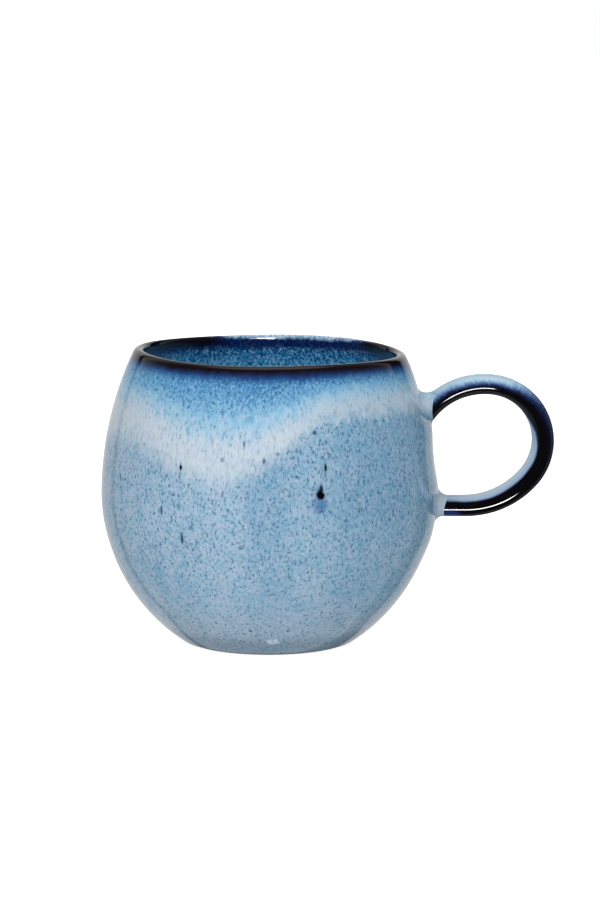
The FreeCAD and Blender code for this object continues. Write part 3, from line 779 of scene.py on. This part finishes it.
def glaze_material(name, inside):
    """A glossy coat of the blue glaze. Inside is 0, 1 or, for the rim, told by the radius."""
    material, g, shader = new_material(name)
    group = g.node("ShaderNodeGroup", node_tree=GLAZE_GROUP)
    if inside is None:
        place, x, y, z = place_in_mm(g)
        radius = g.math("SQRT", g.add(g.times(x, x), g.times(y, y)))
        g.feed(group.inputs["Inside"], g.step(radius, GLAZED.crest + 0.4, GLAZED.crest - 0.4))
    else:
        group.inputs["Inside"].default_value = inside
    g.feed(shader.inputs["Base Color"], group.outputs["Color"])
    height = group.outputs["Height"]
    relief = g.node("ShaderNodeBump", {"Strength": 0.15, "Distance": 0.0002, "Height": height})
    g.feed(shader.inputs["Normal"], relief.outputs[0])
    g.feed(shader.inputs["Roughness"], g.step(height, 0.3, 1.0, 0.05, 0.10))
    shader.inputs["IOR"].default_value = 1.5
    return material


RING_MIDDLE = 61.5, 57.0  # of the handle's opening, in x and z


def handle_material():
    """Near-black glaze that breaks to cobalt and pale blue where it lies on top."""
    material, g, shader = new_material("handle_glaze")
    place, x, y, z = place_in_mm(g)
    normal = g.node("ShaderNodeNewGeometry").outputs["Normal"]
    off_x, off_z = g.add(x, -RING_MIDDLE[0]), g.add(z, -RING_MIDDLE[1])
    away = g.node("ShaderNodeCombineXYZ", {0: off_x, 2: off_z}).outputs[0]
    away = g.vector("NORMALIZE", away)[0]
    facing = g.dot(normal, away)
    rise = g.node("ShaderNodeSeparateXYZ", {0: away}).outputs[2]
    ring = g.math("ARCTAN2", off_z, off_x)

    # Cross streaks round the tube, and soft patches.
    across = {0: g.times(ring, 17.0), 1: g.times(facing, 0.9), 2: g.times(y, 0.1)}
    lines = g.node("ShaderNodeCombineXYZ", across).outputs[0]
    streaks = g.noise(lines, 1.7, 3.0, 0.65)
    soft = g.noise(place, 0.2, 2.0, 0.5)
    ragged = g.add(facing, g.uneven(streaks, 0.6))
    ragged = g.add(ragged, g.uneven(soft, 0.3))

    outwards = g.step(g.math("COSINE", ring), 0.3, 0.95)
    pale = g.add(g.add(g.times(rise, -0.46), 1.30), g.times(outwards, 0.9))
    dark = g.add(g.add(g.times(rise, -0.50), 0.22), g.times(outwards, 0.2))
    level = g.math("DIVIDE", g.math("SUBTRACT", ragged, dark), g.math("SUBTRACT", pale, dark))
    colour = g.ramp(
        level,
        (0.0, srgb(9, 6, 12)),
        (0.16, srgb(13, 13, 36)),
        (0.40, srgb(28, 42, 84)),
        (0.62, srgb(84, 112, 152)),
        (0.86, srgb(148, 180, 206)),
        (1.0, srgb(170, 194, 210)),
    )
    # A cobalt patch under the lower root.
    where, squeeze = (51.5, -3.0, 36.6), (0.3, 0.12, 0.45)
    squeezed = tuple(value * factor for value, factor in zip(where, squeeze))
    patch = g.distance(g.scaled(place, *squeeze), squeezed)
    colour = g.mix(g.step(patch, 1.3, 0.2, 0.0, 0.8), colour, srgb(34, 58, 124))
    # The inner side keeps a pale strip along the lower run, which thins out up the right.
    border = g.step(g.math("COSINE", g.add(ring, 1.4)), -0.85, 0.45, 1.14, 0.62)
    inner = g.math("SUBTRACT", g.times(facing, -1.0), border)
    inner = g.add(inner, g.uneven(soft, 0.12))
    colour = g.mix(g.step(inner, -0.14, -0.02), colour, srgb(52, 66, 110))
    colour = g.mix(g.step(inner, -0.08, 0.10), colour, srgb(150, 172, 198))
    colour = g.mix(g.step(inner, 0.10, 0.36), colour, srgb(190, 204, 214))
    g.feed(shader.inputs["Base Color"], colour)
    shader.inputs["Roughness"].default_value = 0.06
    shader.inputs["IOR"].default_value = 1.5
    return material


def clay_material():
    """Bare fired clay, with a painted shadow in dark grey round the foot's outer edge, where it meets
    the floor.
    """
    material, g, shader = new_material("fired_clay")
    place, x, y, z = place_in_mm(g)
    grain = g.noise(place, 2.4, 4.0, 0.6)
    tone = g.noise(place, 0.12, 2.0, 0.5)
    colour = g.mix(g.step(tone, 0.35, 0.65), srgb(206, 190, 166), srgb(184, 166, 142))
    colour = g.mix(g.step(grain, 0.60, 0.72, 0.0, 0.6), colour, srgb(120, 98, 78))
    radius = g.math("SQRT", g.add(g.times(x, x), g.times(y, y)))
    # Painted shadow: dark grey round the foot's outer edge, low down, where the cup meets the floor.
    painted_foot_shadow = g.times(g.step(radius, 21.1, 21.8), g.step(z, 3.5, 2.5))
    colour = g.mix(g.times(painted_foot_shadow, 0.9), colour, srgb(74, 76, 82))
    g.feed(shader.inputs["Base Color"], colour)
    g.feed(shader.inputs["Roughness"], g.step(grain, 0.3, 0.7, 0.75, 0.92))
    relief = g.node("ShaderNodeBump", {"Strength": 0.4, "Distance": 0.0001, "Height": grain})
    g.feed(shader.inputs["Normal"], relief.outputs[0])
    return material


def dress(piece, material):
    """Gives a piece one material."""
    piece.data.materials.clear()
    piece.data.materials.append(material)


outer_glaze = glaze_material("body_glaze", 0.0)
fired_clay = clay_material()
for piece in (body, lower_collar, upper_collar):
    dress(piece, outer_glaze)
dress(rim, glaze_material("rim_glaze", None))
dress(inside, glaze_material("inner_glaze", 1.0))
dress(handle, handle_material())
dress(clay, fired_clay)
for node in ("stoneware_cup", "stoneware_handle", "upper_slip_joint", "lower_slip_joint"):
    dress(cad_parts[node], fired_clay)
for node in ("body_glaze", "base_glaze", "rim_glaze", "inner_glaze"):
    dress(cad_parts[node], outer_glaze)
dress(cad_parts["handle_glaze"], handle.data.materials[0])


# ---- Floor, light and camera ----

bpy.ops.mesh.primitive_circle_add(vertices=96, radius=3.0, fill_type="NGON", location=(0, 0, 0))
floor = bpy.context.object
floor.name = "floor"
floor.visible_glossy = False
floor.visible_diffuse = False
material, g, shader = new_material("pale_floor")
tone = g.noise(place_in_mm(g)[0], 0.01, 2.0, 0.5)
g.feed(shader.inputs["Base Color"], g.mix(tone, (0.80, 0.80, 0.80, 1), (0.84, 0.84, 0.84, 1)))
shader.inputs["Roughness"].default_value = 0.9
shader.inputs["Specular IOR Level"].default_value = 0.1
shader.inputs["Emission Color"].default_value = (1, 1, 1, 1)
shader.inputs["Emission Strength"].default_value = 0.85
dress(floor, material)

ELEVATION = math.radians(9.12)
LOOKING = (0, math.cos(ELEVATION), -math.sin(ELEVATION))

world = bpy.data.worlds.new("studio")
bpy.context.scene.world = world
world.use_nodes = True
w = Graph(world.node_tree)
background = world.node_tree.nodes["Background"]
direction = w.node("ShaderNodeTexCoord").outputs["Generated"]
ways = w.node("ShaderNodeLightPath").outputs


def toward(x, y, z):
    """How far the looked-at direction points a way, 1 at most."""
    aim = Vector((x, y, z)).normalized()
    return w.dot(direction, tuple(aim))


# What the gloss mirrors: a white backdrop, a dark gap beside it, wider at the right, grey sides
# and a dim front. Low down, the backdrop ends sooner.
ahead = toward(*LOOKING)
split = w.node("ShaderNodeSeparateXYZ", {0: direction}).outputs
under = w.math("SUBTRACT", w.times(split[2], -1.0), w.math("ABSOLUTE", split[0]))
ahead = w.add(ahead, w.step(under, 0.15, 0.40, 0.0, -0.2))


def surroundings(gap_start, gap_end):
    """Greys from straight behind the camera to straight ahead, with the black gap."""
    return w.ramp(
        ahead,
        (0.0, (0.04, 0.04, 0.04, 1)),
        (0.30, (0.10, 0.10, 0.11, 1)),
        (gap_start - 0.02, (0.42, 0.43, 0.45, 1)),
        (gap_start, (0.0, 0.0, 0.0, 1)),
        (gap_end, (0.0, 0.0, 0.0, 1)),
        (gap_end + 0.02, (0.46, 0.47, 0.48, 1)),
        (0.90, (0.66, 0.66, 0.67, 1)),
        (1.0, (0.80, 0.80, 0.80, 1)),
    )


at_right = w.step(toward(1, 0, 0), -0.05, 0.15)
mirrored = w.mix(at_right, surroundings(0.67, 0.73), surroundings(0.53, 0.77))
ceiling = w.step(toward(0, 0.1, 1), 0.86, 0.97)
mirrored = w.mix(ceiling, mirrored, (1.0, 1.0, 1.0, 1))
# What lights the colour: a soft front light, the bounce from a table, a lit ceiling and two dimmer
# lights behind. Each has its direction, where it starts and is full, and its strength.
LIGHTS = [
    ((0, -0.62, -0.78), 0.0, 1.0, 0.80),
    ((0, -0.2, 1), 0.45, 0.95, 0.85),
    ((0.5, 0.85, 0.15), 0.1, 1.0, 0.60),
    ((-0.5, 0.85, 0.15), 0.3, 1.0, 0.30),
]
lit = w.step(toward(-0.20, -0.9, 0.4), 0.0, 1.0, 0.08, 1.10)
for way, start, full, strength in LIGHTS:
    lit = w.add(lit, w.step(toward(*way), start, full, 0.0, strength))
shown = w.mix(ways["Is Diffuse Ray"], (1.0, 1.0, 1.0, 1.0), lit)
shown = w.mix(ways["Is Glossy Ray"], shown, mirrored)
w.feed(background.inputs["Color"], shown)
background.inputs["Strength"].default_value = 1.0


def soft_light(name, where, aim, size, power, pieces):
    """A softbox that is only mirrored in some pieces, and that only the handle can block. In metres."""
    data = bpy.data.lights.new(name, "AREA")
    data.shape = "RECTANGLE"
    data.size, data.size_y = size
    data.energy = power
    light = bpy.data.objects.new(name, data)
    light.location = where
    light.rotation_euler = (Vector(aim) - Vector(where)).to_track_quat("-Z", "Y").to_euler()
    light.visible_camera = False
    light.visible_diffuse = False
    bpy.context.scene.collection.objects.link(light)
    receivers = bpy.data.collections.new(name + "_lights")
    for piece in pieces:
        receivers.objects.link(piece)
    light.light_linking.receiver_collection = receivers
    stops = bpy.data.collections.new(name + "_stops")
    stops.objects.link(handle)
    light.light_linking.blocker_collection = stops


# White glints: on the handle, on the back of the rim and above the foot. The floor doesn't stop
# those from below the table.
soft_light("handle_glint", (0.118, -0.208, -0.151), (0.0615, 0, 0.057), (0.13, 0.05), 0.85, [handle])
soft_light(
    "rim_glint", (0.0012, -0.0055, 0.0915), (0.001, 0.038, 0.0812), (0.008, 0.012), 0.018, [rim, inside]
)
soft_light("foot_glint", (0.007, 0.030, -0.19), (0, 0, 0.005), (0.018, 0.022), 0.003, [body])

# Camera, in metres and degrees. It is turned a little away from the cup's middle, which lies
# to the left of the image's middle and below it.
SENSOR_HEIGHT = 36.0
LENS = 168.48
DISTANCE = 1.2
TARGET = Vector((0, 0, 0.042))
YAW = math.radians(0.427126)
PITCH = math.radians(0.610751)

camera_data = bpy.data.cameras.new("camera")
camera_data.sensor_fit = "VERTICAL"
camera_data.sensor_height = SENSOR_HEIGHT
camera_data.lens = LENS
camera_data.clip_end = 20
camera = bpy.data.objects.new("camera", camera_data)
camera.location = TARGET + DISTANCE * Vector((0, -math.cos(ELEVATION), math.sin(ELEVATION)))
looking = (TARGET - camera.location).to_track_quat("-Z", "Y").to_matrix()
turn = Matrix.Rotation(-YAW, 3, "Y") @ Matrix.Rotation(PITCH, 3, "X")
camera.rotation_euler = (looking @ turn).to_euler()
bpy.context.scene.collection.objects.link(camera)
bpy.context.scene.camera = camera
bpy.context.scene.view_settings.view_transform = "Standard"
